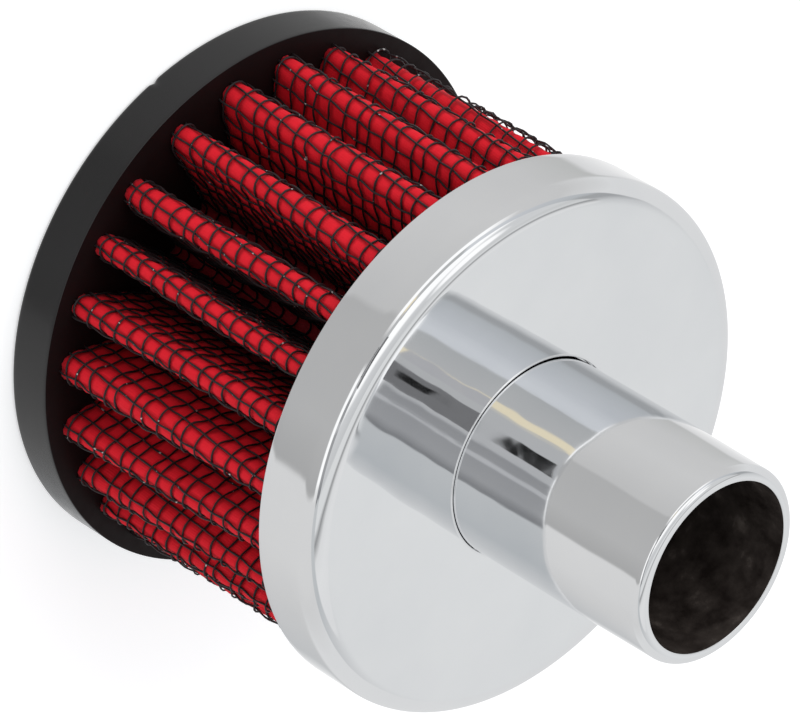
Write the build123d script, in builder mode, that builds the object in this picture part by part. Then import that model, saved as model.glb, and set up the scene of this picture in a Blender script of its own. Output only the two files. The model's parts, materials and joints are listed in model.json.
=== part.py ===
from build123d import *
import os
from math import cos, radians, sin, sqrt

# Push-in breather filter, standing on its moulded end cap with the neck pointing up (+Z).
# The origin is the centre of the cap's underside. All sizes are in millimetres.

# Moulded end cap, a little wider than the cup
cap_overhang = 0.9
cap_height = 7.0
cap_bevel = 0.8
nick_radius = 0.6
nick_height = 1.5
nick_angle = 238.5

# Pleated pack: cotton gauze between two folded wire meshes
pleats = 24
open_length = 40.8
pack_radius = 36.4
gauze_thickness = 1.0
mesh_thickness = 0.4
crest_fold = 1.2
root_fold = 1.8
crest_bends = 4
inner_crest_bends = 2
root_bends = 2

# Openings of the outer mesh, over the crests of the pleats
mesh_rows = 5
mesh_bar = 0.8
mesh_strip = 4.0
window_clearance = 0.5

# Pressed and plated cup, with room for the pack inside
cup_clearance = 0.9
cup_height = 10.1
cup_wall = 0.8
cup_corner = 3.0
corner_flats = 3

# Adhesive that holds the pack in the cup
potting_depth = 3.0
potting_gap = 0.5

# Neck tube, flanged under the cup's face
neck_radius = 14.05
neck_wall = 2.0
neck_length = 33.9
neck_end_bevel = 1.3
neck_seam_gap = 0.06
neck_undercut = 0.3
neck_flange_width = 3.5
neck_flange_thickness = 1.2

# Heights that follow from the sizes above
cup_lip_z = cap_height + open_length
face_z = cup_lip_z + cup_height
under_face_z = face_z - cup_wall
corner_z = face_z - cup_corner
pack_top_z = under_face_z - potting_depth
pack_height = pack_top_z - cap_height
flange_bottom_z = under_face_z - neck_flange_thickness
neck_top_z = face_z + neck_length

# Radii that follow
cup_inner_radius = pack_radius + cup_clearance
cup_radius = cup_inner_radius + cup_wall
cap_radius = cup_radius + cap_overhang
face_edge_radius = cup_radius - cup_corner
hole_radius = neck_radius + neck_seam_gap
undercut_radius = neck_radius - neck_undercut
neck_bore_radius = neck_radius - neck_wall
flange_radius = neck_radius + neck_flange_width
potting_inner_radius = flange_radius + potting_gap

# Inside the cup's corner one flat touches the round at 45 degrees, and this is its reach each way
inner_flat = (cup_corner - cup_wall) * (2 - sqrt(2))
inner_flat_radius = cup_inner_radius - inner_flat
inner_flat_z = under_face_z - inner_flat

# Each pleat's two legs run parallel to its own crest axis, and bent folds join them
half_pitch = 180.0 / pleats
half_gauze = gauze_thickness / 2
crest_centre = pack_radius - mesh_thickness - half_gauze - crest_fold
root_centre = (crest_fold + root_fold) / sin(radians(half_pitch))


def polar(radius, angle):
    """Point at a radius and an angle about the filter's axis."""
    return (radius * cos(radians(angle)), radius * sin(radians(angle)))


def fold(centre, radius, axis_angle, half_turn, bends):
    """Bend points of one fold: flats that touch a round of the radius, from one leg to the other."""
    step = half_turn / bends
    x, y = polar(centre, axis_angle)
    points = []
    for bend in range(bends):
        dx, dy = polar(radius / cos(radians(step)), axis_angle + (2 * bend + 1 - bends) * step)
        points.append((x + dx, y + dy))
    return points


def pleated_outline(offset):
    """Closed pleated line that lies an offset outside the middle of the gauze.

    Inside the gauze the crests are so tight that two bends are enough.
    """
    bends = crest_bends if offset > 0 else inner_crest_bends
    points = []
    for pleat in range(pleats):
        crest_axis = 2 * half_pitch * pleat
        root_axis = crest_axis + half_pitch
        points += fold(crest_centre, crest_fold + offset, crest_axis, 90, bends)
        points += fold(root_centre, offset - root_fold, root_axis, half_pitch - 90, root_bends)
    Polyline(*points, close=True)


# Moulded end cap, with the small nick in its lower edge
with BuildPart() as end_cap:
    Cylinder(cap_radius, cap_height, align=(Align.CENTER, Align.CENTER, Align.MIN))
    chamfer(end_cap.edges().sort_by(Axis.Z)[0], cap_bevel)
    with Locations((*polar(cap_radius, nick_angle), 0)):
        Cylinder(
            nick_radius, nick_height, align=(Align.CENTER, Align.CENTER, Align.MIN), mode=Mode.SUBTRACT
        )
end_cap.part.label = "end_cap"

# Cotton gauze, folded into pleats and closed into a ring
with BuildPart() as cotton_gauze:
    with BuildSketch(Plane.XY.offset(cap_height)):
        with BuildLine():
            pleated_outline(half_gauze)
        make_face()
        with BuildLine():
            pleated_outline(-half_gauze)
        make_face(mode=Mode.SUBTRACT)
    extrude(amount=pack_height)
cotton_gauze.part.label = "cotton_gauze"

# Wire mesh that lines the gauze on the clean side
with BuildPart() as inner_mesh:
    with BuildSketch(Plane.XY.offset(cap_height)):
        with BuildLine():
            pleated_outline(-half_gauze)
        make_face()
        with BuildLine():
            pleated_outline(-half_gauze - mesh_thickness)
        make_face(mode=Mode.SUBTRACT)
    extrude(amount=pack_height)
inner_mesh.part.label = "inner_mesh"

# Wire mesh round the gauze: strips in the valleys, and cross bars over the open crests.
# Its lowest windows open onto the end cap, which the mesh runs into.
window_pitch = open_length / mesh_rows
window_height = window_pitch - mesh_bar
window_width = 2 * (crest_fold + half_gauze + mesh_thickness + window_clearance)
window_inner = root_centre + mesh_strip
window_depth = pack_radius + window_clearance - window_inner
with BuildPart() as outer_mesh:
    with BuildSketch(Plane.XY.offset(cap_height)):
        with BuildLine():
            pleated_outline(half_gauze + mesh_thickness)
        make_face()
        with BuildLine():
            pleated_outline(half_gauze)
        make_face(mode=Mode.SUBTRACT)
    extrude(amount=pack_height)
    for row in range(mesh_rows):
        with BuildSketch(Plane.XY.offset(cap_height + row * window_pitch)):
            with PolarLocations(window_inner + window_depth / 2, pleats):
                Rectangle(window_depth, window_width)
        extrude(amount=window_height, mode=Mode.SUBTRACT)
outer_mesh.part.label = "outer_mesh"

# Pressed cup, with its round corner made of a few flats and its face open round the neck
corner_steps = [90 * step / corner_flats for step in range(1, corner_flats)]
corner_bends = [
    (face_edge_radius + cup_corner * cos(radians(turn)), corner_z + cup_corner * sin(radians(turn)))
    for turn in corner_steps
]
with BuildPart() as chrome_cup:
    with BuildSketch(Plane.XZ):
        with BuildLine():
            Polyline(
                (cup_inner_radius, cup_lip_z),
                (cup_radius, cup_lip_z),
                (cup_radius, corner_z),
                *corner_bends,
                (face_edge_radius, face_z),
                (hole_radius, face_z),
                (hole_radius, under_face_z),
                (inner_flat_radius, under_face_z),
                (cup_inner_radius, inner_flat_z),
                close=True,
            )
        make_face()
    revolve(axis=Axis.Z)
chrome_cup.part.label = "chrome_cup"

# Ring of adhesive that fills the cup above the pack
with BuildPart() as potting_ring:
    with BuildSketch(Plane.XZ):
        with BuildLine():
            Polyline(
                (potting_inner_radius, pack_top_z),
                (cup_inner_radius, pack_top_z),
                (cup_inner_radius, inner_flat_z),
                (inner_flat_radius, under_face_z),
                (potting_inner_radius, under_face_z),
                close=True,
            )
        make_face()
    revolve(axis=Axis.Z)
potting_ring.part.label = "potting_ring"

# Neck tube with its flange against the underside of the face, and a bevelled end.
# It is undercut where the face sits round it, so that the face seats flat on the flange.
with BuildPart() as neck_tube:
    with BuildSketch(Plane.XZ):
        with BuildLine():
            Polyline(
                (neck_bore_radius, flange_bottom_z),
                (flange_radius, flange_bottom_z),
                (flange_radius, under_face_z),
                (undercut_radius, under_face_z),
                (undercut_radius, face_z),
                (neck_radius, face_z),
                (neck_radius, neck_top_z),
                (neck_bore_radius, neck_top_z),
                close=True,
            )
        make_face()
    revolve(axis=Axis.Z)
    end_edges = neck_tube.edges().group_by(Axis.Z)[-1]
    chamfer(end_edges.sort_by(SortBy.RADIUS)[-1], neck_end_bevel)
neck_tube.part.label = "neck_tube"

os.makedirs("parts", exist_ok=True)
export_step(end_cap.part, "parts/end_cap.step")
export_step(cotton_gauze.part, "parts/cotton_gauze.step")
export_step(inner_mesh.part, "parts/inner_mesh.step")
export_step(outer_mesh.part, "parts/outer_mesh.step")
export_step(chrome_cup.part, "parts/chrome_cup.step")
export_step(potting_ring.part, "parts/potting_ring.step")
export_step(neck_tube.part, "parts/neck_tube.step")
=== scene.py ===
import json
import math

import bpy
import numpy as np
from mathutils import Matrix, Vector


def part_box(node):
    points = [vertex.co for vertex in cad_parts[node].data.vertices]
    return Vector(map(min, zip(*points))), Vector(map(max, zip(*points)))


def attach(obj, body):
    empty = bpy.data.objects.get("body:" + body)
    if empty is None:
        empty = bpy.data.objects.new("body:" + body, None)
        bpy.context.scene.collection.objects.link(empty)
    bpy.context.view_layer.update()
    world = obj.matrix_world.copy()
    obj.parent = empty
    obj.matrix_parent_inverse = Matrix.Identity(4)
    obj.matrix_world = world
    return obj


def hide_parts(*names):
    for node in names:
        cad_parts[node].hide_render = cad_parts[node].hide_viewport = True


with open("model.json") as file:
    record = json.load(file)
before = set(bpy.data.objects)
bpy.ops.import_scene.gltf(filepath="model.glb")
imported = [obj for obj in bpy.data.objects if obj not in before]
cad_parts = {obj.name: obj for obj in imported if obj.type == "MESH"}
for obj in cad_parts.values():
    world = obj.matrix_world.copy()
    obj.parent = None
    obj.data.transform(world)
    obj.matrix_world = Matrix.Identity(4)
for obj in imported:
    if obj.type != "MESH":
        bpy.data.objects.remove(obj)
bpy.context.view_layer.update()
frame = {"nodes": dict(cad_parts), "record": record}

# Everything is in metres, in the part's frame: +Z runs along the filter's axis, and the origin is
# the centre of the end cap's underside.
MM = 0.001
ROOT = "root"

# Places and sizes read from the frame
CAP_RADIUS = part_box("end_cap")[1][0]
CAP_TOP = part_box("end_cap")[1][2]
CUP_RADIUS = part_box("chrome_cup")[1][0]
CUP_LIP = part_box("chrome_cup")[0][2]
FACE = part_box("chrome_cup")[1][2]
PACK_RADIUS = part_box("outer_mesh")[1][0]
PACK_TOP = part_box("cotton_gauze")[1][2]
FLANGE_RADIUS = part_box("neck_tube")[1][0]
FLANGE_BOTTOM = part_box("neck_tube")[0][2]
NECK_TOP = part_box("neck_tube")[1][2]
MOUNTS = {mount["name"]: mount for mount in frame["record"]["mounts"]}
NECK_RADIUS = MOUNTS["neck_outside"]["dims"]["r_mm"] * MM
BORE_RADIUS = MOUNTS["neck_bore"]["dims"]["r_mm"] * MM

# Metal parts. The bead round the neck's hole has its centre BEAD_SINK of its radius under the
# face, which it meets at BEAD_START degrees.
CUP_WALL = 0.8 * MM
CUP_CORNER = 3.0 * MM
FACE_RISE = 0.45 * MM
FACE_STEPS = 14
LIP_ROUND = 0.25 * MM
HOLE_BEAD = 0.18 * MM
BEAD_SINK = 0.4
BEAD_START = 24
SEAM_GAP = 0.06 * MM
WIDE_GAP = 0.12 * MM
WIDE_GAP_SIDE = math.radians(-165)
NECK_TIP_RADIUS = 13.9 * MM
NECK_TAPER = 12.0 * MM
NECK_END_ROUND = 1.25 * MM
BORE_EDGE_ROUND = 0.1 * MM

# End cap
CAP_LOWER_ROUND = 0.8 * MM
CAP_UPPER_ROUND = 0.12 * MM
CAP_CENTRE = 0.5 * MM
CAP_SEGMENTS = 720
NICK_ANGLE = math.radians(238.5)
NICK_WIDTH = 0.5 * MM
NICK_DEPTH = 0.35 * MM
NICK_MIDDLE = 0.32 * MM
NICK_HEIGHT = 0.7 * MM
NICK_REACH = 1.5 * MM

# Pleats, as folded in the part's source, and the steps of half a fold and of a leg
PLEATS = 24
GAUZE_HALF = 0.5 * MM
CREST_FOLD = 1.2 * MM
ROOT_FOLD = 1.8 * MM
MESH_THICKNESS = 0.4 * MM
FOLD_STEPS = 40
LEG_STEPS = 60

# How the real pack strays from even folds. Each crest is turned by DRIFT, once round, by SPREAD,
# twice round, and by BUNCHING, five times round. It leans by LEAN from cap to cup, and the pack
# narrows by TAPER.
TURN = math.radians(-0.06)
DRIFT = math.radians(4.1)
DRIFT_START = math.radians(-128.0)
SPREAD = math.radians(1.0)
SPREAD_START = math.radians(170.0)
BUNCHING = math.radians(1.0)
BUNCHING_START = math.radians(-88.0)
LEAN = math.radians(-3.4)
LEAN_CHANGE = math.radians(3.7)
LEAN_START = math.radians(-153.0)
TAPER = 0.8 * MM

# Woven wire, and the gauze that puffs out between the wires. The long wires lean sideways by
# WIRE_SKEW of their height. They start WIRE_ROOT down in the cap, and end WIRE_END or more below
# the top of the pack. A ring wire strays up or down by ROW_SHIFT at most, and a wire's thickness
# by the share WIRE_LUMPS. The first ring wire lies FIRST_WIRE of a pitch above the cap. The gauze
# swells by PUFF from the wires to the middle of a cell, and at the wires it lies PUFF_SINK of that
# under its even place.
WIRE_PITCH = 2.55 * MM
FIRST_WIRE = 0.35
WIRE_RADIUS = 0.145 * MM
WIRE_SIDES = 5
WIRE_LUMPS = 0.14
WIRE_ROOT = 0.2 * MM
WIRE_END = 0.1 * MM
WIRE_SKEW = 0.1
CRIMP = 0.15 * MM
ZIGZAG = 0.05 * MM
PUFF = 0.30 * MM
PUFF_SINK = 0.3
ROW_SHIFT = 0.42 * MM

# How far the mesh stands off its even place: by MESH_REST everywhere, and more at SLACK_PLACE of
# the way from root to crest: by SLACK on the tight side, and by MORE_SLACK beyond it on the loose
# side. Both vary from place to place, up to MOST_SLACK times.
MESH_REST = 0.03 * MM
SLACK = 0.06 * MM
MORE_SLACK = 0.20 * MM
SLACK_PLACE = 0.72
SLACK_WIDTH = 0.16
MOST_SLACK = 1.4

# The side where the mesh stands clear of the gauze. There its crests are out by LOOSE_LIFT at the
# cap and by LIFT_AT_CUP of that at the cup. The gauze's crests are in by LOOSE_SINK, and on their
# outside by SINK_AT_CUP of that at the cup.
LOOSE_SIDE = math.radians(172)
LOOSE_WIDTH = math.radians(16)
LOOSE_LIFT = 0.45 * MM
LIFT_AT_CUP = 0.4
LOOSE_SINK = 0.40 * MM
SINK_AT_CUP = 0.5

# Camera: the axis crosses the height of AXIS_POINT at this pixel of the 800 x 725 picture
CAMERA_AZIMUTH = math.radians(-96.3)
CAMERA_ELEVATION = math.radians(37.59)
CAMERA_ROLL = math.radians(120.96)
CAMERA_LENS = 270.0
SENSOR_WIDTH = 36.0
PICTURE = (800, 725)
AXIS_PIXEL = (523.2, 451.3)
AXIS_POINT = Vector((0, 0, 56.57 * MM))
AXIS_DEPTH = 776.2 * MM

# Floor: half its width, how far it lies under the end cap, so that the two don't share a plane, its
# colour, and what it adds to that so that the camera sees it white
FLOOR_REACH = 4.0
FLOOR_DROP = 0.03 * MM
FLOOR_COLOUR = (0.82, 0.82, 0.82, 1)
FLOOR_GLOW = (0.48, 0.48, 0.48, 1)

# Height on the axis that the lamp points at
LAMP_AIM = 40 * MM

# Two black bars, below and above the camera, and two grey panels, behind the upper bar and to its
# side: from and to upwards, from and to sideways, the distance behind the camera, and the grey,
# whose blue is BAR_BLUE times as strong
BARS = (
    ((-57 * MM, -29 * MM), (-67 * MM, 94 * MM), 0.0, 0.008),
    ((36 * MM, 60 * MM), (-58 * MM, 16 * MM), 0.0, 0.008),
    ((4 * MM, 110 * MM), (-118 * MM, 130 * MM), 4 * MM, 0.19),
    ((38 * MM, 110 * MM), (-320 * MM, -200 * MM), 4 * MM, 0.47),
)
BAR_BLUE = 1.03

RANDOM = np.random.default_rng(7)


# Meshes

def mesh_piece(name, points, faces, materials, sharp, face_materials=None):
    """A smooth-shaded mesh piece that rides on the object's one body, sharp above an angle."""
    mesh = bpy.data.meshes.new(name)
    mesh.from_pydata(np.asarray(points).tolist(), [], [list(face) for face in faces])
    for material in materials:
        mesh.materials.append(material)
    mesh.polygons.foreach_set("use_smooth", [True] * len(mesh.polygons))
    if face_materials is not None:
        mesh.polygons.foreach_set("material_index", face_materials)
    if sharp:
        mesh.set_sharp_from_angle(angle=math.radians(sharp))
    mesh.update()
    piece = bpy.data.objects.new(name, mesh)
    bpy.context.scene.collection.objects.link(piece)
    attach(piece, ROOT)
    return piece


def arc(centre, radius, start, end, steps):
    """Points of a profile's round, from one angle to another in degrees."""
    angles = np.radians(np.linspace(start, end, steps + 1))
    return [(centre[0] + radius * math.cos(a), centre[1] + radius * math.sin(a)) for a in angles]


def line(start, end, steps):
    """Points along a straight stretch of a profile, without its two ends."""
    return [
        (start[0] + (end[0] - start[0]) * k / steps, start[1] + (end[1] - start[1]) * k / steps)
        for k in range(1, steps)
    ]


def turned(profile, segments=288):
    """Points and faces of a closed profile of (radius, height) turned about the axis."""
    angles = np.linspace(0, 2 * math.pi, segments, endpoint=False)
    radii = np.array([p[0] for p in profile])
    heights = np.array([p[1] for p in profile])
    points = np.stack(
        [
            np.outer(np.cos(angles), radii),
            np.outer(np.sin(angles), radii),
            np.tile(heights, (segments, 1)),
        ],
        axis=-1,
    )
    count = len(profile)
    faces = []
    for k in range(segments):
        after = (k + 1) % segments
        for i in range(count):
            j = (i + 1) % count
            faces.append((k * count + i, after * count + i, after * count + j, k * count + j))
    return points.reshape(-1, 3), faces


def grid_faces(rows, columns, closed):
    """Quads between rings of points, ring by ring. If closed, the last ring meets the first."""
    last_row = rows if closed else rows - 1
    r, c = np.meshgrid(np.arange(last_row), np.arange(columns), indexing="ij")
    next_r, next_c = (r + 1) % rows, (c + 1) % columns
    corners = [
        r * columns + c,
        r * columns + next_c,
        next_r * columns + next_c,
        next_r * columns + c,
    ]
    return np.stack(corners, axis=-1).reshape(-1, 4)


def tubes(centres, normals, closed):
    """Points and faces of wires: centres is (wires, samples, 3), and normals are the sheet's."""
    if closed:
        tangents = np.roll(centres, -1, axis=1) - np.roll(centres, 1, axis=1)
    else:
        tangents = np.gradient(centres, axis=1)
    tangents /= np.linalg.norm(tangents, axis=-1, keepdims=True)
    across = np.cross(tangents, normals)
    across /= np.linalg.norm(across, axis=-1, keepdims=True)
    up = np.cross(across, tangents)
    wires, samples = centres.shape[:2]
    turns = np.linspace(0, 2 * math.pi, WIRE_SIDES, endpoint=False)
    ring = np.cos(turns)[:, None] * up[:, :, None, :]
    ring = ring + np.sin(turns)[:, None] * across[:, :, None, :]
    lumps = 1 + WIRE_LUMPS * RANDOM.uniform(-1, 1, (wires, samples))
    points = centres[:, :, None, :] + WIRE_RADIUS * lumps[:, :, None, None] * ring
    one = grid_faces(samples, WIRE_SIDES, closed)
    per_wire = samples * WIRE_SIDES
    faces = np.concatenate([one + wire * per_wire for wire in range(wires)]).tolist()
    if not closed:
        for wire in range(wires):
            first = wire * per_wire
            last = first + per_wire - WIRE_SIDES
            faces.append([first + k for k in reversed(range(WIRE_SIDES))])
            faces.append([last + k for k in range(WIRE_SIDES)])
    return points.reshape(-1, 3), faces


# Pleats

def one_pleat():
    """The gauze's middle over one pleat, from root to root: points, and normals that point out."""
    half = math.pi / PLEATS
    crest_centre = PACK_RADIUS - MESH_THICKNESS - GAUZE_HALF - CREST_FOLD
    root_radius = (CREST_FOLD + ROOT_FOLD) / math.sin(half)
    root_centre = root_radius * np.array([math.cos(half), -math.sin(half)])
    points = []
    normals = []
    for turn in np.linspace(0, math.pi / 2 - half, FOLD_STEPS, endpoint=False):
        angle = -half + math.pi - turn
        normal = np.array([-math.cos(angle), -math.sin(angle)])
        points.append(root_centre - normal * ROOT_FOLD)
        normals.append(normal)
    leg_start = root_centre + np.array([0, ROOT_FOLD])
    leg_end = np.array([crest_centre, -CREST_FOLD])
    for share in np.linspace(0, 1, LEG_STEPS, endpoint=False):
        points.append(leg_start + share * (leg_end - leg_start))
        normals.append(np.array([0.0, -1.0]))
    for angle in np.linspace(-math.pi / 2, 0, FOLD_STEPS, endpoint=False):
        normal = np.array([math.cos(angle), math.sin(angle)])
        points.append(np.array([crest_centre, 0]) + normal * CREST_FOLD)
        normals.append(normal)
    points = np.array(points)
    normals = np.array(normals)
    crest = np.array([[crest_centre + CREST_FOLD, 0.0]])
    mirror = np.array([1.0, -1.0])
    all_points = np.concatenate([points, crest, points[::-1] * mirror])
    all_normals = np.concatenate([normals, [[1.0, 0.0]], normals[::-1] * mirror])
    return all_points, all_normals


class PleatLine:
    """The folded line all round the pack, measured along the middle of the outer wire mesh."""

    def __init__(self):
        self.mesh_offset = GAUZE_HALF + MESH_THICKNESS / 2
        self.points, self.normals = one_pleat()
        at_mesh = self.points + self.normals * self.mesh_offset
        steps = np.linalg.norm(np.diff(at_mesh, axis=0), axis=1)
        self.lengths = np.concatenate([[0], np.cumsum(steps)])
        self.pleat_length = self.lengths[-1]
        self.length = self.pleat_length * PLEATS

    def at(self, along, offset):
        """Points (x, y) and normals at lengths along it, an offset outside the gauze's middle."""
        pleat = np.floor(along / self.pleat_length)
        rest = along - pleat * self.pleat_length
        x = np.interp(rest, self.lengths, self.points[:, 0])
        y = np.interp(rest, self.lengths, self.points[:, 1])
        nx = np.interp(rest, self.lengths, self.normals[:, 0])
        ny = np.interp(rest, self.lengths, self.normals[:, 1])
        size = np.hypot(nx, ny)
        nx, ny = nx / size, ny / size
        x, y = x + nx * offset, y + ny * offset
        angle = pleat * 2 * math.pi / PLEATS
        c, s = np.cos(angle), np.sin(angle)
        points = np.stack([x * c - y * s, x * s + y * c], -1)
        return points, np.stack([nx * c - ny * s, nx * s + ny * c], -1)

    def fold_share(self, along):
        """Where in its pleat a place lies: 0 at the roots and 1 on the crest."""
        rest = np.mod(along, self.pleat_length) / self.pleat_length
        return 1 - np.abs(2 * rest - 1)


def waves(count, slowest, quickest, size):
    """A smooth random function of two numbers, the same on each run."""
    a = RANDOM.uniform(slowest, quickest, count) * RANDOM.choice([-1, 1], count)
    b = RANDOM.uniform(slowest, quickest, count) * RANDOM.choice([-1, 1], count)
    shift = RANDOM.uniform(0, 2 * math.pi, count)
    share = size / math.sqrt(count)

    def value(u, v):
        total = np.zeros(np.broadcast(u, v).shape)
        for k in range(count):
            total = total + np.sin(a[k] * u + b[k] * v + shift[k])
        return total * share

    return value


def strayed(plan, normal, height):
    """Turns even folds into real ones: (x, y) and normals about the axis, by place and height."""
    angle = np.arctan2(plan[..., 1], plan[..., 0])
    rise = (height - CAP_TOP) / (CUP_LIP - CAP_TOP)
    shift = TURN + DRIFT * np.sin(angle + DRIFT_START) + SPREAD * np.sin(2 * angle + SPREAD_START)
    shift = shift + BUNCHING * np.sin(5 * angle + BUNCHING_START)
    shift = shift + rise * (LEAN + LEAN_CHANGE * np.sin(angle + LEAN_START))
    shift = shift + WANDER(angle * WANDER_ROUND, height / WANDER_UP)
    c, s = np.cos(shift), np.sin(shift)
    width = 1 + TAPER * (0.5 - rise) / PACK_RADIUS
    x = (plan[..., 0] * c - plan[..., 1] * s) * width
    y = (plan[..., 0] * s + plan[..., 1] * c) * width
    nx = normal[..., 0] * c - normal[..., 1] * s
    ny = normal[..., 0] * s + normal[..., 1] * c
    return np.stack([x, y, height], -1), np.stack([nx, ny, np.zeros_like(nx)], -1)


# Small irregularities: the folds' turn, the mesh's slack, the long wires' slide along the line and
# the ring wires' sag, and how quickly each changes from place to place
WANDER = waves(6, 0.5, 1.3, math.radians(0.35))
WANDER_ROUND = 12
WANDER_UP = 9 * MM
LIFT = waves(8, 0.6, 2.4, 1.0)
LIFT_ALONG = 9 * MM
LIFT_UP = 7 * MM
SLIDE = waves(8, 0.8, 3.0, 0.035 * MM)
SLIDE_PER_WIRE = 1.7
SLIDE_UP = 3 * MM
SAG = waves(8, 0.8, 3.0, 0.12 * MM)
SAG_ALONG = 4 * MM
SAG_PER_WIRE = 1.3

LINE = PleatLine()
COLUMNS = 2 * round(LINE.length / WIRE_PITCH / 2)
COLUMN_PITCH = LINE.length / COLUMNS
FIRST_ROW = CAP_TOP + WIRE_PITCH * FIRST_WIRE
ROWS = int((PACK_TOP - FIRST_ROW) / WIRE_PITCH)

# How far each ring wire strays at each crest, with a row to spare below the first and three above
UNEVEN_ROWS = ROWS + 4
UNEVEN = RANDOM.uniform(-1, 1, (UNEVEN_ROWS, PLEATS)) * ROW_SHIFT


def row_shift(along, height):
    """How far a ring wire strays up or down from its even place: steady over each crest."""
    column = along / LINE.pleat_length - 0.5
    row = np.clip((height - FIRST_ROW) / WIRE_PITCH + 1, 0, UNEVEN_ROWS - 1.1)
    left = np.floor(column).astype(int)
    low = np.floor(row).astype(int)
    across = (column - left) ** 2 * (3 - 2 * (column - left))
    up = row - low
    here, after = left % PLEATS, (left + 1) % PLEATS
    lower = UNEVEN[low, here] * (1 - across) + UNEVEN[low, after] * across
    upper = UNEVEN[low + 1, here] * (1 - across) + UNEVEN[low + 1, after] * across
    return lower * (1 - up) + upper * up


def from_loose_side(along):
    """Angle from the side where the mesh is loose, for lengths along the outline."""
    azimuth = 2 * math.pi * (along / LINE.length - 0.5 / PLEATS)
    return np.angle(np.exp(1j * (azimuth - LOOSE_SIDE)))


def loose_share(along):
    """How loose the mesh is at a place: 1 on the crests of the loose side, 0 in all valleys."""
    return np.exp(-((from_loose_side(along) / LOOSE_WIDTH) ** 2)) * LINE.fold_share(along) ** 3


def mesh_lift(along, height):
    """How far the mesh stands off its even place: slack beside the crests, and the loose side."""
    beside = np.exp(-(((LINE.fold_share(along) - SLACK_PLACE) / SLACK_WIDTH) ** 2))
    slack = SLACK + MORE_SLACK * (0.5 + 0.5 * np.cos(from_loose_side(along)))
    amount = np.clip(0.5 + 0.5 * LIFT(along / LIFT_ALONG, height / LIFT_UP), 0, MOST_SLACK)
    from_cup = np.clip((CUP_LIP - height) / (CUP_LIP - CAP_TOP), 0, 1)
    bulge = LOOSE_LIFT * loose_share(along) * (LIFT_AT_CUP + (1 - LIFT_AT_CUP) * from_cup)
    return MESH_REST + slack * beside * amount + bulge


def wire_place(along, height, crimp):
    """Points and normals of the outer mesh at lengths along it and heights."""
    offset = LINE.mesh_offset + mesh_lift(along, height) + crimp
    plan, normal = LINE.at(along, offset)
    return strayed(plan, normal, height)


# Materials

class Nodes:
    """Short calls for building one material's or the world's nodes."""

    def __init__(self, tree):
        self.tree = tree
        self.tree.nodes.clear()

    def add(self, kind, **settings):
        node = self.tree.nodes.new(kind)
        for name, value in settings.items():
            setattr(node, name, value)
        return node

    def link(self, source, target):
        self.tree.links.new(source, target)

    def feed(self, socket, value):
        """Sets a socket, or links it if the value is another node's output."""
        if isinstance(value, bpy.types.NodeSocket):
            self.link(value, socket)
        else:
            socket.default_value = value

    def math(self, operation, a, b=0.0, c=0.0):
        node = self.add("ShaderNodeMath", operation=operation)
        for socket, value in zip(node.inputs, (a, b, c)):
            self.feed(socket, value)
        return node.outputs[0]

    def mix(self, share, a, b):
        """A colour between two, by share."""
        node = self.add("ShaderNodeMix", data_type="RGBA")
        self.feed(node.inputs[0], share)
        for socket, value in ((node.inputs[6], a), (node.inputs[7], b)):
            self.feed(socket, value if isinstance(value, bpy.types.NodeSocket) else (*value, 1))
        return node.outputs[2]

    def split(self, vector):
        """The three parts of a vector."""
        node = self.add("ShaderNodeSeparateXYZ")
        self.link(vector, node.inputs[0])
        return node.outputs

    def noise(self, place, scale, detail, roughness=0.5):
        node = self.add("ShaderNodeTexNoise")
        self.feed(node.inputs["Vector"], place)
        node.inputs["Scale"].default_value = scale
        node.inputs["Detail"].default_value = detail
        node.inputs["Roughness"].default_value = roughness
        return node.outputs[0]

    def ramp(self, value, stops):
        """A colour ramp through stops of (place, grey or colour)."""
        node = self.add("ShaderNodeValToRGB")
        elements = node.color_ramp.elements
        while len(elements) < len(stops):
            elements.new(0.5)
        for element, (place, colour) in zip(elements, stops):
            element.position = place
            rgb = colour if isinstance(colour, tuple) else (colour, colour, colour)
            element.color = (*rgb, 1)
        self.feed(node.inputs[0], value)
        return node.outputs[0]

    def bump(self, height, distance, strength):
        node = self.add("ShaderNodeBump")
        node.inputs["Strength"].default_value = strength
        node.inputs["Distance"].default_value = distance
        self.feed(node.inputs["Height"], height)
        return node.outputs[0]

    def glow(self, kind, colour, strength):
        """An emission or background shader."""
        node = self.add(kind)
        self.feed(node.inputs[0], colour)
        self.feed(node.inputs[1], strength)
        return node.outputs[0]

    def mix_shaders(self, share, a, b):
        node = self.add("ShaderNodeMixShader")
        self.feed(node.inputs[0], share)
        self.link(a, node.inputs[1])
        self.link(b, node.inputs[2])
        return node.outputs[0]


def bare_material(name):
    """An empty material: the material, its nodes and the socket of its output."""
    material = bpy.data.materials.new(name)
    material.use_nodes = True
    nodes = Nodes(material.node_tree)
    return material, nodes, nodes.add("ShaderNodeOutputMaterial").inputs[0]


def new_material(name):
    """A material with one Principled shader: its nodes, the shader and the object's own place."""
    material, nodes, output = bare_material(name)
    shader = nodes.add("ShaderNodeBsdfPrincipled")
    nodes.link(shader.outputs[0], output)
    place = nodes.add("ShaderNodeTexCoord").outputs["Object"]
    return material, nodes, shader, place


def axis_depth(nodes, place, start, reach):
    """How far out from the axis a place lies: 0 at a starting radius, and 1 a reach beyond it."""
    x, y, _ = nodes.split(place)
    squares = nodes.math("ADD", nodes.math("MULTIPLY", x, x), nodes.math("MULTIPLY", y, y))
    past_start = nodes.math("SUBTRACT", nodes.math("SQRT", squares), start)
    return nodes.math("DIVIDE", past_start, reach)


def threads(nodes, uv, direction):
    """Fine threads of the gauze in one direction."""
    wave = nodes.add("ShaderNodeTexWave", bands_direction=direction)
    nodes.feed(wave.inputs["Vector"], uv)
    wave.inputs["Scale"].default_value = 2.2
    wave.inputs["Distortion"].default_value = 1.5
    return wave.outputs["Fac"]


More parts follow.
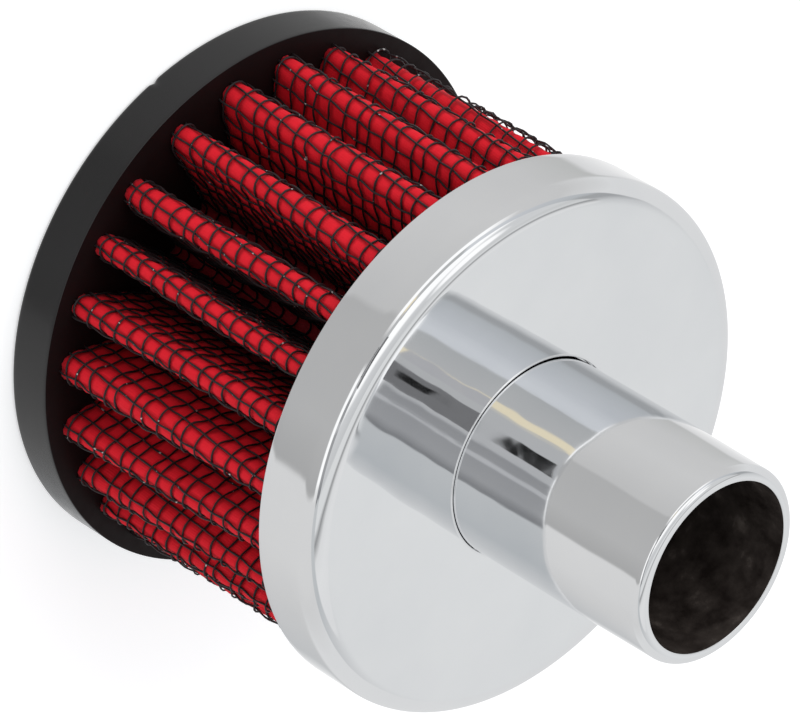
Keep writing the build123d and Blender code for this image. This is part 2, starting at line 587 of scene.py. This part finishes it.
def chrome_material():
    """Polished plating, with a slight haze and the faintest ripple."""
    material, nodes, shader, place = new_material("chrome")
    shader.inputs["Metallic"].default_value = 1.0
    haze = nodes.noise(place, 90, 4)
    colour = nodes.mix(haze, (0.86, 0.87, 0.885), (0.93, 0.935, 0.94))
    nodes.feed(shader.inputs["Base Color"], colour)
    rough = nodes.ramp(nodes.noise(place, 260, 5), [(0.3, 0.025), (0.75, 0.06)])
    nodes.feed(shader.inputs["Roughness"], rough)
    ripple = nodes.math("MULTIPLY_ADD", nodes.noise(place, 130, 1), 0.25, nodes.noise(place, 45, 1))
    nodes.feed(shader.inputs["Normal"], nodes.bump(ripple, 0.00017, 1.0))
    return material


def bore_material():
    """The unplated inside of the tube: dark, brownish and mottled."""
    material, nodes, shader, place = new_material("bore")
    mottle = nodes.noise(place, 320, 6, 0.6)
    dark, middle, bare = (0.028, 0.021, 0.018), (0.075, 0.060, 0.052), (0.18, 0.15, 0.13)
    colour = nodes.ramp(mottle, [(0.35, dark), (0.6, middle), (0.75, bare)])
    nodes.feed(shader.inputs["Base Color"], colour)
    shader.inputs["Metallic"].default_value = 0.4
    nodes.feed(shader.inputs["Roughness"], nodes.ramp(mottle, [(0.3, 0.4), (0.8, 0.7)]))
    nodes.feed(shader.inputs["Normal"], nodes.bump(mottle, 0.0002, 0.4))
    return material


def gauze_material():
    """Oiled red cotton: fine threads, with painted shade that darkens it down in the folds and next
    to the wires.
    """
    material, nodes, shader, place = new_material("red_gauze")
    # Painted shade: the red darkens from the crests down into the folds, by distance from the axis.
    outward = axis_depth(nodes, place, 24 * MM, 9 * MM)
    painted_fold_shade = nodes.ramp(outward, [(0.0, 0.0), (0.4, 0.5), (0.8, 1.0)])
    blotch = nodes.noise(place, 200, 4)
    bright = nodes.mix(blotch, (0.78, 0.011, 0.022), (0.94, 0.017, 0.034))
    uv = nodes.add("ShaderNodeUVMap").outputs[0]
    u, v, _ = nodes.split(uv)
    to_long_wire = nodes.math("PINGPONG", u, 0.5)
    to_ring_wire = nodes.math("PINGPONG", v, 0.5)
    from_wires = nodes.math("MINIMUM", to_long_wire, to_ring_wire)
    # Painted shade: the red darkens next to the wires, where they shade the gauze.
    painted_wire_shade = nodes.ramp(from_wires, [(0.0, 0.0), (0.10, 0.25), (0.26, 1.0)])
    bright = nodes.mix(painted_wire_shade, (0.55, 0.009, 0.018), bright)
    colour = nodes.mix(painted_fold_shade, (0.20, 0.004, 0.009), bright)
    nodes.feed(shader.inputs["Base Color"], colour)
    shader.inputs["Roughness"].default_value = 0.75
    shader.inputs["Specular IOR Level"].default_value = 0.2
    shader.inputs["Sheen Weight"].default_value = 0.08
    shader.inputs["Sheen Tint"].default_value = (1.0, 0.25, 0.3, 1)
    shader.inputs["Sheen Roughness"].default_value = 0.4
    weave = nodes.math("ADD", threads(nodes, uv, "X"), threads(nodes, uv, "Y"))
    fuzz = nodes.math("ADD", weave, nodes.noise(place, 900, 3))
    nodes.feed(shader.inputs["Normal"], nodes.bump(fuzz, 0.00003, 0.5))
    return material


def wire_material():
    """Black coated wire, with painted shade that darkens it down in the folds, and a few bare
    bright spots.
    """
    material, nodes, shader, place = new_material("wire_mesh")
    # Painted shade: by distance from the axis, the coat darkens down in the folds. The bare spots
    # fade out there, and the wire turns rougher.
    shown = nodes.ramp(axis_depth(nodes, place, 29 * MM, 6 * MM), [(0.0, 0.0), (1.0, 1.0)])
    tone = nodes.noise(place, 400, 3)
    coat = nodes.mix(tone, (0.014, 0.010, 0.011), (0.034, 0.028, 0.030))
    # Painted shade: the coat goes near-black down in the folds.
    coat = nodes.mix(shown, (0.002, 0.0015, 0.0018), coat)
    spots = nodes.ramp(nodes.noise(place, 1100, 1), [(0.73, 0.0), (0.76, 1.0)])
    spots = nodes.math("MULTIPLY", spots, shown)
    nodes.feed(shader.inputs["Base Color"], nodes.mix(spots, coat, (0.75, 0.73, 0.72)))
    nodes.feed(shader.inputs["Metallic"], spots)
    rough = nodes.ramp(tone, [(0.3, 0.34), (0.7, 0.55)])
    nodes.feed(shader.inputs["Roughness"], nodes.mix(shown, (0.9, 0.9, 0.9), rough))
    shader.inputs["Specular IOR Level"].default_value = 0.35
    nodes.feed(shader.inputs["Normal"], nodes.bump(nodes.noise(place, 2500, 3), 0.00003, 0.3))
    return material


def cap_material():
    """Black moulding, glossy on its side."""
    material, nodes, shader, place = new_material("end_cap")
    cloud = nodes.noise(place, 60, 4)
    colour = nodes.mix(cloud, (0.008, 0.007, 0.007), (0.016, 0.0155, 0.016))
    nodes.feed(shader.inputs["Base Color"], colour)
    rough = nodes.ramp(nodes.noise(place, 500, 5, 0.6), [(0.3, 0.16), (0.7, 0.24)])
    nodes.feed(shader.inputs["Roughness"], rough)
    nodes.feed(shader.inputs["Normal"], nodes.bump(nodes.noise(place, 1500, 4), 0.00002, 0.25))
    return material


def cap_face_material():
    """The cap's face under the pleats: matt, and stained by the red oil."""
    material, nodes, shader, place = new_material("end_cap_face")
    stain = nodes.noise(place, 90, 4)
    colour = nodes.mix(stain, (0.005, 0.0022, 0.0022), (0.012, 0.006, 0.006))
    nodes.feed(shader.inputs["Base Color"], colour)
    rough = nodes.ramp(nodes.noise(place, 500, 5, 0.6), [(0.3, 0.45), (0.7, 0.6)])
    nodes.feed(shader.inputs["Roughness"], rough)
    shader.inputs["Specular IOR Level"].default_value = 0.12
    nodes.feed(shader.inputs["Normal"], nodes.bump(nodes.noise(place, 1500, 4), 0.00002, 0.4))
    return material


def potting_material():
    """Dark, dull adhesive."""
    material, nodes, shader, place = new_material("potting")
    cloud = nodes.noise(place, 300, 4)
    colour = nodes.mix(cloud, (0.02, 0.019, 0.018), (0.05, 0.047, 0.045))
    nodes.feed(shader.inputs["Base Color"], colour)
    nodes.feed(shader.inputs["Roughness"], nodes.ramp(cloud, [(0.3, 0.45), (0.7, 0.6)]))
    nodes.feed(shader.inputs["Normal"], nodes.bump(cloud, 0.0002, 0.4))
    return material


# Pieces

def dome(radius):
    """How far the cup's face rises at a radius."""
    return FACE_RISE * (1 - (radius / (CUP_RADIUS - CUP_CORNER)) ** 2)


def domed(start, end, height):
    """Points of a profile along the domed face, without its two ends."""
    return [(radius, height + dome(radius)) for radius, _ in line((start, 0), (end, 0), FACE_STEPS)]


def make_cup(material):
    """Pressed cup: one shell, with a domed face and a small bead round the neck's hole."""
    inner = CUP_RADIUS - CUP_WALL
    corner_centre = (CUP_RADIUS - CUP_CORNER, FACE - CUP_CORNER)
    edge = corner_centre[0]
    hole = NECK_RADIUS + SEAM_GAP
    face_at_hole = FACE + dome(hole)
    outside = arc((CUP_RADIUS - LIP_ROUND, CUP_LIP + LIP_ROUND), LIP_ROUND, -90, 0, 4)
    outside += line(outside[-1], (CUP_RADIUS, FACE - CUP_CORNER), 6)
    outside += arc(corner_centre, CUP_CORNER, 0, 90, 16)
    outside += domed(edge, hole + 2 * HOLE_BEAD, FACE)
    bead_centre = (hole + HOLE_BEAD, face_at_hole - BEAD_SINK * HOLE_BEAD)
    outside += arc(bead_centre, HOLE_BEAD, BEAD_START, 180, 12)
    inside = [(hole, face_at_hole - CUP_WALL)]
    inside += domed(hole, edge, FACE - CUP_WALL)
    inside += arc(corner_centre, CUP_CORNER - CUP_WALL, 90, 0, 8)
    inside += line(inside[-1], (inner, CUP_LIP), 3)
    inside += arc((inner + LIP_ROUND, CUP_LIP + LIP_ROUND), LIP_ROUND, 180, 270, 4)
    points, faces = turned(outside + inside)
    angle = np.arctan2(points[:, 1], points[:, 0])
    radius = np.hypot(points[:, 0], points[:, 1])
    near_hole = np.clip((hole + 4 * HOLE_BEAD - radius) / (2 * HOLE_BEAD), 0, 1)
    widened = 1 + WIDE_GAP * near_hole * (0.5 + 0.5 * np.cos(angle - WIDE_GAP_SIDE)) ** 2 / radius
    points[:, 0] *= widened
    points[:, 1] *= widened
    cup = mesh_piece("cup_shell", points, faces, [material], sharp=50)
    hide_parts("chrome_cup")


def make_neck(material, bore):
    """Neck tube: a flange under the cup's face, a slight taper to a round end, and a dark bore."""
    under = FACE - CUP_WALL
    outside = [
        (BORE_RADIUS, FLANGE_BOTTOM),
        (FLANGE_RADIUS, FLANGE_BOTTOM),
        (FLANGE_RADIUS, under),
        (NECK_RADIUS, under),
    ]
    outside += line((NECK_RADIUS, under), (NECK_RADIUS, NECK_TOP - NECK_TAPER), 8)
    outside += [(NECK_RADIUS, NECK_TOP - NECK_TAPER)]
    outside += line(outside[-1], (NECK_TIP_RADIUS, NECK_TOP - NECK_END_ROUND), 5)
    end_centre = (NECK_TIP_RADIUS - NECK_END_ROUND, NECK_TOP - NECK_END_ROUND)
    outside += arc(end_centre, NECK_END_ROUND, 0, 90, 10)
    bore_edge = (BORE_RADIUS + BORE_EDGE_ROUND, NECK_TOP - BORE_EDGE_ROUND)
    profile = outside + arc(bore_edge, BORE_EDGE_ROUND, 90, 180, 3)
    bore_start = len(profile) - 1
    profile += line((BORE_RADIUS, NECK_TOP - BORE_EDGE_ROUND), (BORE_RADIUS, FLANGE_BOTTOM), 12)
    points, faces = turned(profile)
    in_bore = [int(k % len(profile) >= bore_start) for k in range(len(faces))]
    materials = [material, bore]
    neck = mesh_piece(
        "neck_shell", points, faces, materials, sharp=50, face_materials=in_bore
    )
    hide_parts("neck_tube")


def make_end_cap(material, face_material):
    """Moulded cap, closed at its centre by small round faces, with the nick in its lower edge."""
    lower_centre = (CAP_RADIUS - CAP_LOWER_ROUND, CAP_LOWER_ROUND)
    upper_centre = (CAP_RADIUS - CAP_UPPER_ROUND, CAP_TOP - CAP_UPPER_ROUND)
    profile = [(CAP_CENTRE, 0)]
    profile += line(profile[0], (lower_centre[0], 0), 10)
    profile += arc(lower_centre, CAP_LOWER_ROUND, -90, 0, 8)
    profile += line(profile[-1], (CAP_RADIUS, upper_centre[1]), 12)
    profile += arc(upper_centre, CAP_UPPER_ROUND, 0, 90, 4)
    face_start = len(profile) - 2
    profile += line(profile[-1], (CAP_CENTRE, CAP_TOP), 12)
    profile += [(CAP_CENTRE, CAP_TOP)]
    points, faces = turned(profile, CAP_SEGMENTS)
    angle = np.arctan2(points[:, 1], points[:, 0])
    away = np.angle(np.exp(1j * (angle - NICK_ANGLE))) * CAP_RADIUS
    low = np.exp(-((points[:, 2] - NICK_MIDDLE) / NICK_HEIGHT) ** 2)
    rim = points[:, 0] ** 2 + points[:, 1] ** 2 > (CAP_RADIUS - NICK_REACH) ** 2
    push = NICK_DEPTH * np.exp(-((away / NICK_WIDTH) ** 2)) * low * rim
    scale = 1 - push / CAP_RADIUS
    points[:, 0] *= scale
    points[:, 1] *= scale
    count = len(profile)
    faces = [face for k, face in enumerate(faces) if k % count < count - 1]
    on_face = [int(k % (count - 1) >= face_start) for k in range(len(faces))]
    faces.append([k * count for k in reversed(range(CAP_SEGMENTS))])
    faces.append([k * count + count - 1 for k in range(CAP_SEGMENTS)])
    on_face += [0, 1]
    materials = [material, face_material]
    cap = mesh_piece(
        "cap_moulding", points, faces, materials, sharp=50, face_materials=on_face
    )
    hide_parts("end_cap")


def make_gauze(material):
    """Pleated gauze that puffs out in each cell of the wire mesh, closed round its inner side."""
    per_cell = 3
    columns = COLUMNS * per_cell
    along = np.arange(columns) * COLUMN_PITCH / per_cell
    row_step = WIRE_PITCH / per_cell
    low_rows = int((FIRST_ROW - CAP_TOP) / row_step)
    high_rows = int((PACK_TOP - FIRST_ROW) / row_step)
    heights = FIRST_ROW + np.arange(-low_rows, high_rows + 1) * row_step
    heights = np.concatenate([[CAP_TOP], heights[heights > CAP_TOP + row_step / 3], [PACK_TOP]])
    s, z = np.meshgrid(along, heights)
    cross = s - WIRE_SKEW * (z - CAP_TOP)
    level = (z - row_shift(s, z) - FIRST_ROW) / WIRE_PITCH
    puff = np.abs(np.sin(math.pi * cross / COLUMN_PITCH) * np.sin(math.pi * level))
    rise = (z - CAP_TOP) / (PACK_TOP - CAP_TOP)
    sink = LOOSE_SINK * loose_share(s) * (1 - (1 - SINK_AT_CUP) * rise)
    outer, _ = strayed(*LINE.at(s, GAUZE_HALF + PUFF * (puff - PUFF_SINK) - sink), z)
    inner_s, inner_z = np.meshgrid(along, [PACK_TOP, CAP_TOP])
    inner_plan = LINE.at(inner_s, -GAUZE_HALF - LOOSE_SINK * loose_share(inner_s))
    inner, _ = strayed(*inner_plan, inner_z)
    points = np.concatenate([outer.reshape(-1, 3), inner.reshape(-1, 3)])
    faces = grid_faces(len(heights) + 2, columns, closed=True)
    piece = mesh_piece("gauze_folds", points, faces.tolist(), [material], sharp=0)
    uv = piece.data.uv_layers.new(name="UVMap")
    inner_cross = inner_s - WIRE_SKEW * (inner_z - CAP_TOP)
    inner_level = (inner_z - FIRST_ROW) / WIRE_PITCH
    u = np.concatenate([cross.ravel(), inner_cross.ravel()]) / COLUMN_PITCH + 1
    v = np.concatenate([level.ravel(), inner_level.ravel()]) + 1
    corners = np.empty(len(piece.data.loops), dtype=np.int32)
    piece.data.loops.foreach_get("vertex_index", corners)
    uv.data.foreach_set("uv", np.stack([u[corners], v[corners]], -1).astype(np.float32).ravel())
    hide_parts("cotton_gauze")


def wire_pieces(names, centres, normals, closed, material):
    """Two pieces of wires, with half of the wires each."""
    half = len(centres) // 2
    pieces = []
    for name, part in zip(names, (slice(0, half), slice(half, None))):
        points, faces = tubes(centres[part], normals[part], closed)
        pieces.append(mesh_piece(name, points, faces, [material], sharp=0))
    return pieces


def make_outer_mesh(material):
    """Plain-woven wire: rings that follow the folds, and straight wires from cap to cup."""
    per_cell = 4
    heights = np.arange(CAP_TOP - WIRE_ROOT, PACK_TOP - WIRE_END, WIRE_PITCH / per_cell)
    wire, z = np.meshgrid(np.arange(COLUMNS), heights, indexing="ij")
    straight = wire * COLUMN_PITCH + WIRE_SKEW * (z - CAP_TOP)
    sway = (-1.0) ** wire * np.cos(math.pi * (z - row_shift(straight, z) - FIRST_ROW) / WIRE_PITCH)
    along = straight + SLIDE(wire * SLIDE_PER_WIRE, z / SLIDE_UP) + ZIGZAG * sway
    centres, normals = wire_place(along, z, CRIMP * sway)
    names = ("long_wires_a", "long_wires_b")
    pieces = wire_pieces(names, centres, normals, False, material)
    samples = np.arange(COLUMNS * per_cell) * COLUMN_PITCH / per_cell
    wire, along = np.meshgrid(np.arange(ROWS), samples, indexing="ij")
    level = FIRST_ROW + wire * WIRE_PITCH
    cross = along - WIRE_SKEW * (level - CAP_TOP)
    crimp = -CRIMP * (-1.0) ** wire * np.cos(math.pi * cross / COLUMN_PITCH)
    z = level + row_shift(along, level) + SAG(along / SAG_ALONG, wire * SAG_PER_WIRE)
    centres, normals = wire_place(along, z, crimp)
    names = ("ring_wires_a", "ring_wires_b")
    pieces += wire_pieces(names, centres, normals, True, material)
    for piece in pieces:
        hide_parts("outer_mesh")


def make_inner_mesh(material):
    """The mesh on the clean side, as one thin sheet that follows the same folds."""
    per_cell = 2
    columns = COLUMNS * per_cell
    along = np.arange(columns) * COLUMN_PITCH / per_cell
    heights = np.linspace(CAP_TOP, PACK_TOP, 13)
    sheets = []
    for offset, rows in ((-GAUZE_HALF, heights), (-GAUZE_HALF - MESH_THICKNESS, heights[::-1])):
        s, z = np.meshgrid(along, rows)
        plan, normal = LINE.at(s, offset - LOOSE_SINK * loose_share(s))
        sheets.append(strayed(plan, normal, z)[0].reshape(-1, 3))
    faces = grid_faces(2 * len(heights), columns, closed=True)
    points = np.concatenate(sheets)
    piece = mesh_piece("inner_lining", points, faces.tolist(), [material], sharp=60)
    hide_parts("inner_mesh")


def dress(node, material):
    """A solid that stays gets its finish too."""
    piece = frame["nodes"][node]
    piece.data.materials.clear()
    piece.data.materials.append(material)


# Surroundings

def turn_stop(degrees):
    """Place on the studio's ramp of a direction, in degrees round from the camera's."""
    return (degrees / 360 + 0.5) % 1.0


# Studio zones by direction round the axis: 0 is the camera's side, and 180 lies behind the filter
STUDIO_ZONES = [
    (turn_stop(-180), (0.76, 0.77, 0.775)),
    (turn_stop(-150), (0.60, 0.61, 0.62)),
    (turn_stop(-137), (0.38, 0.39, 0.40)),
    (turn_stop(-127), (0.38, 0.39, 0.40)),
    (turn_stop(-120), (0.48, 0.50, 0.52)),
    (turn_stop(-85), (0.58, 0.60, 0.63)),
    (turn_stop(-68), (0.67, 0.69, 0.72)),
    (turn_stop(-60), (0.67, 0.69, 0.72)),
    (turn_stop(-57), (0.46, 0.47, 0.475)),
    (turn_stop(-31), (0.50, 0.505, 0.51)),
    (turn_stop(-29), (0.86, 0.77, 0.57)),
    (turn_stop(-23), (0.86, 0.77, 0.57)),
    (turn_stop(-20), (0.50, 0.505, 0.51)),
    (turn_stop(14), (0.50, 0.505, 0.515)),
    (turn_stop(18), (0.31, 0.315, 0.325)),
    (turn_stop(26), (0.33, 0.335, 0.345)),
    (turn_stop(29), (0.56, 0.565, 0.58)),
    (turn_stop(32), (0.34, 0.345, 0.355)),
    (turn_stop(50), (0.36, 0.365, 0.375)),
    (turn_stop(60), (0.22, 0.225, 0.235)),
    (turn_stop(62.5), (0.57, 0.585, 0.595)),
    (turn_stop(110), (0.52, 0.54, 0.555)),
    (turn_stop(140), (0.62, 0.63, 0.64)),
    (0.9999, (0.76, 0.77, 0.775)),
]

# The same for directions at and below the horizon, which the upright walls of the metal show
FLOOR_ZONES = [
    (turn_stop(-180), (0.98, 0.98, 0.98)),
    (turn_stop(-160), (0.88, 0.88, 0.88)),
    (turn_stop(-138), (0.72, 0.72, 0.725)),
    (turn_stop(-133), (0.52, 0.525, 0.52)),
    (turn_stop(-105), (0.60, 0.60, 0.60)),
    (turn_stop(-70), (0.63, 0.63, 0.63)),
    (turn_stop(-45), (0.60, 0.60, 0.60)),
    (turn_stop(-19), (0.55, 0.55, 0.55)),
    (turn_stop(-17.5), (0.46, 0.46, 0.46)),
    (turn_stop(30), (0.48, 0.48, 0.48)),
    (turn_stop(53), (0.42, 0.42, 0.42)),
    (turn_stop(55.5), (0.71, 0.71, 0.71)),
    (turn_stop(90), (0.69, 0.69, 0.69)),
    (turn_stop(115), (0.64, 0.64, 0.64)),
    (turn_stop(150), (0.55, 0.56, 0.57)),
    (turn_stop(170), (0.85, 0.855, 0.86)),
    (0.9999, (0.98, 0.98, 0.98)),
]

# Overhead, from the camera's side to the top of the white sweep behind the filter: soft lamps,
# the dark ceiling and the sweep, which is turned by SWEEP_TURN from the camera. They stop at the
# two ends of the lit side.
SWEEP_TURN = math.radians(150)
OVERHEAD_ZONES = [
    (0.27, (1.1, 1.1, 1.1)),
    (0.33, (0.66, 0.67, 0.68)),
    (0.50, (0.58, 0.59, 0.60)),
    (0.56, (0.34, 0.345, 0.35)),
    (0.66, (0.30, 0.305, 0.31)),
    (0.72, (0.74, 0.745, 0.75)),
    (0.79, (0.78, 0.785, 0.79)),
    (0.86, (0.76, 0.765, 0.77)),
]
LIT_SIDE = [
    (turn_stop(-150), 0.0),
    (turn_stop(-90), 1.0),
    (turn_stop(58), 1.0),
    (turn_stop(64), 0.0),
]
CEILING_END = [(0.62, 0.0), (0.66, 1.0)]
CEILING_BESIDE = (0.74, 0.75, 0.755)

# Lamps: low ones on both sides of the camera, and one at the side. Each has soft edges.
LAMP = (1.1, 1.1, 1.1)
HORIZON_LAMPS = [
    (turn_stop(-82), 0.0),
    (turn_stop(-66), 1.0),
    (turn_stop(-20), 1.0),
    (turn_stop(-9), 0.0),
    (turn_stop(2), 0.0),
    (turn_stop(9), 1.0),
    (turn_stop(50), 1.0),
    (turn_stop(58), 0.0),
]
HORIZON_LAMP_HEIGHTS = [(0.30, 0.0), (0.36, 1.0)]
SIDE_LAMP = (math.radians(172), math.radians(64))
SIDE_LAMP_EDGE = [(0.978, 0.0), (0.992, 1.0)]

# The far wall, which shows low down behind the filter
FAR_WALL = (0.74, 0.745, 0.75)
FAR_WALL_SIDES = [(0.15, 0.0), (0.5, 1.0)]
FAR_WALL_FOOT = [(0.215, 0.0), (0.29, 1.0)]

# How far up a direction has to point, from 0 at level to 1 straight up, to meet the studio's zones,
# and to meet what is overhead. The zones' borders wave by up to half of WAVE_SIZE, in turns.
ZONES_START = [(0.505, 0.0), (0.53, 1.0)]
OVERHEAD_START = [(0.665, 0.0), (0.68, 1.0)]
WAVE_SCALE = 28
WAVE_SIZE = 0.016

# The plain soft light on the filter, and the white that the camera sees
SOFT_LIGHT = (0.95, 0.97, 1.0, 1)
SOFT_STRENGTH = 0.75
WHITE = (1, 1, 1, 1)


def aim(azimuth, elevation):
    """The direction of an azimuth and elevation."""
    level = math.cos(elevation)
    return Vector((math.cos(azimuth) * level, math.sin(azimuth) * level, math.sin(elevation)))


def round_place(nodes, x, y):
    """Place of a direction on a ramp of zones round the axis: 0.5 on the camera's side."""
    offset = nodes.math("SUBTRACT", nodes.math("ARCTAN2", y, x), CAMERA_AZIMUTH)
    return nodes.math("FRACT", nodes.math("ADD", nodes.math("DIVIDE", offset, 2 * math.pi), 1.5))


def toward(nodes, direction, azimuth, elevation=0.0):
    """How closely a direction points to an azimuth and elevation: 1 straight at it."""
    dot = nodes.add("ShaderNodeVectorMath", operation="DOT_PRODUCT")
    nodes.feed(dot.inputs[0], direction)
    dot.inputs[1].default_value = aim(azimuth, elevation)
    return dot.outputs["Value"]


def studio_colour(nodes, direction):
    """The studio that the metal shows, by direction: low down, level and overhead."""
    x, y, z = nodes.split(direction)
    around = round_place(nodes, x, y)
    height = nodes.math("MAXIMUM", z, 0.0)
    lamp_side = nodes.ramp(around, HORIZON_LAMPS)
    lamps = nodes.math("MULTIPLY", lamp_side, nodes.ramp(height, HORIZON_LAMP_HEIGHTS))
    low = nodes.mix(lamps, nodes.ramp(around, FLOOR_ZONES), LAMP)
    behind = nodes.ramp(toward(nodes, direction, CAMERA_AZIMUTH + math.pi), FAR_WALL_SIDES)
    above_foot = nodes.ramp(nodes.math("MULTIPLY_ADD", z, 0.5, 0.5), FAR_WALL_FOOT)
    low = nodes.mix(nodes.math("MULTIPLY", behind, above_foot), low, FAR_WALL)
    unevenness = nodes.math("SUBTRACT", nodes.noise(direction, WAVE_SCALE, 1), 0.5)
    wavy = nodes.math("MULTIPLY_ADD", unevenness, WAVE_SIZE, around)
    level = nodes.mix(nodes.ramp(height, ZONES_START), low, nodes.ramp(wavy, STUDIO_ZONES))
    to_sweep = toward(nodes, direction, CAMERA_AZIMUTH + SWEEP_TURN)
    back_place = nodes.math("MULTIPLY_ADD", to_sweep, 0.5, 0.5)
    beyond = nodes.ramp(back_place, CEILING_END)
    share = nodes.math("MAXIMUM", nodes.ramp(around, LIT_SIDE), beyond)
    upper = nodes.mix(share, CEILING_BESIDE, nodes.ramp(back_place, OVERHEAD_ZONES))
    side_lamp = nodes.ramp(toward(nodes, direction, *SIDE_LAMP), SIDE_LAMP_EDGE)
    upper = nodes.mix(side_lamp, upper, LAMP)
    return nodes.mix(nodes.ramp(height, OVERHEAD_START), level, upper)


def make_world():
    """White behind, plain soft light, and a studio of light and dark zones that the metal shows."""
    world = bpy.data.worlds.new("studio")
    bpy.context.scene.world = world
    world.use_nodes = True
    nodes = Nodes(world.node_tree)
    output = nodes.add("ShaderNodeOutputWorld")
    path = nodes.add("ShaderNodeLightPath")
    direction = nodes.add("ShaderNodeTexCoord").outputs["Generated"]
    shown = nodes.glow("ShaderNodeBackground", studio_colour(nodes, direction), 1.0)
    soft = nodes.glow("ShaderNodeBackground", SOFT_LIGHT, SOFT_STRENGTH)
    white = nodes.glow("ShaderNodeBackground", WHITE, 1.0)
    glossy = nodes.mix_shaders(path.outputs["Is Glossy Ray"], soft, shown)
    final = nodes.mix_shaders(path.outputs["Is Camera Ray"], glossy, white)
    nodes.link(final, output.inputs[0])


def make_floor():
    """A pale floor that looks white from the camera and keeps the filter's shadow.

    The metal looks through it at the studio's zones, so that the walls of the cup and the neck
    show them alike. From below it can't be seen.
    """
    size, low = FLOOR_REACH, -FLOOR_DROP
    mesh = bpy.data.meshes.new("floor")
    corners = [(-size, -size, low), (size, -size, low), (size, size, low), (-size, size, low)]
    mesh.from_pydata(corners, [], [(0, 1, 2, 3)])
    material, nodes, output = bare_material("floor")
    path = nodes.add("ShaderNodeLightPath")
    matt = nodes.add("ShaderNodeBsdfDiffuse")
    matt.inputs[0].default_value = FLOOR_COLOUR
    seen = nodes.math("ADD", path.outputs["Is Camera Ray"], path.outputs["Is Transmission Ray"])
    both = nodes.add("ShaderNodeAddShader")
    nodes.link(matt.outputs[0], both.inputs[0])
    nodes.link(nodes.glow("ShaderNodeEmission", FLOOR_GLOW, seen), both.inputs[1])
    clear = nodes.add("ShaderNodeBsdfTransparent")
    from_below = nodes.add("ShaderNodeNewGeometry").outputs["Backfacing"]
    see_through = nodes.math("MAXIMUM", path.outputs["Is Glossy Ray"], from_below)
    nodes.link(nodes.mix_shaders(see_through, both.outputs[0], clear.outputs[0]), output)
    mesh.materials.append(material)
    floor = bpy.data.objects.new("floor", mesh)
    bpy.context.scene.collection.objects.link(floor)


def make_lamp(name, azimuth, elevation, distance, size, power):
    """A soft square lamp, at angles in degrees, that doesn't show in the metal."""
    lamp = bpy.data.lights.new(name, "AREA")
    lamp.shape = "SQUARE"
    lamp.size = size
    lamp.energy = power
    piece = bpy.data.objects.new(name, lamp)
    back = aim(math.radians(azimuth), math.radians(elevation))
    piece.location = Vector((0, 0, LAMP_AIM)) + back * distance
    piece.rotation_mode = "QUATERNION"
    piece.rotation_quaternion = (-back).to_track_quat("-Z", "Y")
    piece.visible_glossy = False
    bpy.context.scene.collection.objects.link(piece)


def make_camera():
    """The photograph's camera: gives its place, and the direction back from the filter to it."""
    data = bpy.data.cameras.new("camera")
    data.sensor_width = SENSOR_WIDTH
    data.sensor_fit = "HORIZONTAL"
    data.lens = CAMERA_LENS
    data.clip_start, data.clip_end = 0.01, 20
    camera = bpy.data.objects.new("camera", data)
    back = aim(CAMERA_AZIMUTH, CAMERA_ELEVATION)
    level_right = Vector((0, 0, 1)).cross(back).normalized()
    level_up = back.cross(level_right)
    right = level_right * math.cos(CAMERA_ROLL) + level_up * math.sin(CAMERA_ROLL)
    up = back.cross(right)
    pixels = CAMERA_LENS / SENSOR_WIDTH * PICTURE[0]
    aside = (AXIS_PIXEL[0] - PICTURE[0] / 2) / pixels * AXIS_DEPTH
    below = (AXIS_PIXEL[1] - PICTURE[1] / 2) / pixels * AXIS_DEPTH
    place = AXIS_POINT - right * aside + up * below + back * AXIS_DEPTH
    turn = Matrix((right, up, back)).transposed().to_4x4()
    turn.translation = place
    camera.matrix_world = turn
    bpy.context.scene.collection.objects.link(camera)
    bpy.context.scene.camera = camera
    return place, back


def make_bars(place, back):
    """Black bars and grey panels by the camera, which the polished neck shows as small marks."""
    level = Vector((0, 0, 1)).cross(back).normalized()
    upright = back.cross(level)
    points = []
    for heights, sides, behind, _ in BARS:
        for high in heights:
            for aside in sides:
                points.append(tuple(place + upright * high + level * aside + back * behind))
    mesh = bpy.data.meshes.new("dark_bars")
    mesh.from_pydata(points, [], [(n, n + 1, n + 3, n + 2) for n in range(0, len(points), 4)])
    for number, (_, _, _, grey) in enumerate(BARS):
        material, nodes, output = bare_material("dark_bar")
        colour = (grey, grey, BAR_BLUE * grey, 1)
        nodes.link(nodes.glow("ShaderNodeEmission", colour, 1.0), output)
        mesh.materials.append(material)
        mesh.polygons[number].material_index = number
    bars = bpy.data.objects.new("dark_bars", mesh)
    bars.visible_camera = False
    bars.visible_diffuse = False
    bars.visible_shadow = False
    bpy.context.scene.collection.objects.link(bars)


chrome = chrome_material()
wire = wire_material()
make_cup(chrome)
make_neck(chrome, bore_material())
make_end_cap(cap_material(), cap_face_material())
make_gauze(gauze_material())
make_outer_mesh(wire)
make_inner_mesh(wire)
dress("potting_ring", potting_material())

make_world()
make_floor()
make_lamp("key", azimuth=-150, elevation=50, distance=0.7, size=0.5, power=1.5)
camera_place, camera_back = make_camera()
make_bars(camera_place, camera_back)

bpy.context.scene.view_settings.view_transform = "Standard"
